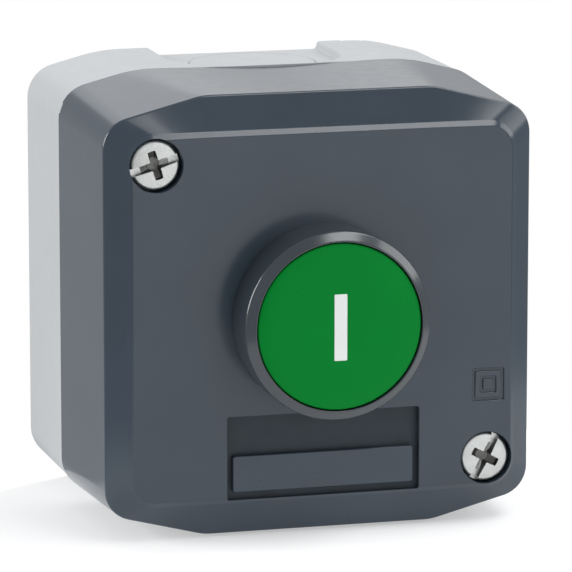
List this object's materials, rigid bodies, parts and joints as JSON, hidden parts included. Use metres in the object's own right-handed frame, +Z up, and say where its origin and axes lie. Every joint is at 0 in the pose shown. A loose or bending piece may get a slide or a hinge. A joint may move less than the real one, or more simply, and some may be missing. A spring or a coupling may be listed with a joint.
{
  "type": "push button control station",
  "caption": "Surface-mounted control station: a two-part grey enclosure with screwed lid, a flush green push button with a bar mark and a spring-loaded contact block inside.",
  "frame": {"origin": "centre of the flat back face that lies on the wall", "axes": "+Y into the wall along the back face's outward normal and along the button's travel, +Z up, +X to the right seen from the front"},
  "size_m": [0.068, 0.0622, 0.068],
  "materials": {
    "base_grey": "light grey moulded thermoplastic, fine satin texture",
    "lid_grey": "dark blue-grey moulded thermoplastic, satin sheen",
    "legend_grey": "blank dark grey legend plate, satin",
    "bezel_grey": "dark grey glass-filled plastic, satin",
    "cap_green": "signal green moulded plastic, semi-gloss",
    "mark_white": "white second-shot plastic, flush bar mark",
    "zinc_steel": "bright zinc-plated steel",
    "spring_steel": "drawn spring wire",
    "brass": "machined and stamped brass",
    "silver_alloy": "silver alloy contact tips",
    "seal_rubber": "black elastomer seals",
    "nylon_natural": "natural nylon",
    "nut_plastic": "black glass-filled nylon ring nut",
    "block_black": "black polyamide contact block",
    "latch_grey": "grey acetal latch",
    "carrier_green": "green acetal plunger, the colour of a normally open block"
  },
  "bodies": {
    "enclosure": {"base_shell": "base_grey", "lid": "lid_grey", "lid_gasket": "seal_rubber", "legend_plate": "legend_grey", "operator_body": "bezel_grey", "bezel_gasket": "seal_rubber", "fixing_nut": "nut_plastic", "stem_seal": "seal_rubber", "thread_insert_upper": "brass", "thread_insert_lower": "brass", "screw_seal_upper": "seal_rubber", "screw_seal_lower": "seal_rubber", "retaining_washer_upper": "nylon_natural", "retaining_washer_lower": "nylon_natural", "block_housing": "block_black", "block_cover": "block_black", "block_latch": "latch_grey", "plunger_spring": "spring_steel", "fixed_contact_upper": "brass", "fixed_contact_lower": "brass", "fixed_tips": "silver_alloy", "terminal_clamp_upper": "zinc_steel", "terminal_clamp_lower": "zinc_steel"},
    "button": {"button_cap": "cap_green", "button_mark": "mark_white", "pusher": "nylon_natural", "pusher_clip": "spring_steel", "return_spring": "spring_steel"},
    "contact_carrier": {"contact_plunger": "carrier_green", "contact_spring": "spring_steel"},
    "bridge": {"contact_bridge": "brass", "bridge_tips": "silver_alloy"},
    "cover_screw_upper": {"lid_screw_upper": "zinc_steel"},
    "cover_screw_lower": {"lid_screw_lower": "zinc_steel"},
    "wire_screw_upper": {"terminal_screw_upper": "zinc_steel"},
    "wire_screw_lower": {"terminal_screw_lower": "zinc_steel"}
  },
  "joints": [
    {"name": "button_press", "type": "slide", "parent": "enclosure", "child": "button", "axis": [0, 1, 0], "range_m": [0, 0.0043], "stiffness_N_per_m": 500, "springref_m": -0.004, "deforming": ["return_spring"]},
    {"name": "carrier_slide", "type": "slide", "parent": "enclosure", "child": "contact_carrier", "axis": [0, 1, 0], "range_m": [0, 0.0043], "deforming": ["plunger_spring"]},
    {"name": "bridge_slide", "type": "slide", "parent": "enclosure", "child": "bridge", "axis": [0, 1, 0], "range_m": [0, 0.00258], "deforming": ["contact_spring"]},
    {"name": "cover_screw_upper_turn", "type": "hinge", "parent": "enclosure", "child": "cover_screw_upper", "pos_m": [-0.0259, -0.05, 0.0238], "axis": [0, 1, 0], "continuous": true},
    {"name": "cover_screw_lower_turn", "type": "hinge", "parent": "enclosure", "child": "cover_screw_lower", "pos_m": [0.0259, -0.05, -0.0238], "axis": [0, 1, 0], "continuous": true},
    {"name": "wire_screw_upper_turn", "type": "hinge", "parent": "enclosure", "child": "wire_screw_upper", "pos_m": [0, -0.0135, 0.014], "axis": [0, 1, 0], "continuous": true},
    {"name": "wire_screw_lower_turn", "type": "hinge", "parent": "enclosure", "child": "wire_screw_lower", "pos_m": [0, -0.0135, -0.014], "axis": [0, 1, 0], "continuous": true}
  ],
  "couplings": [
    {"joint": "carrier_slide", "follows": "button_press", "ratio": 1},
    {"joint": "bridge_slide", "follows": "button_press", "ratio": 0.6}
  ]
}
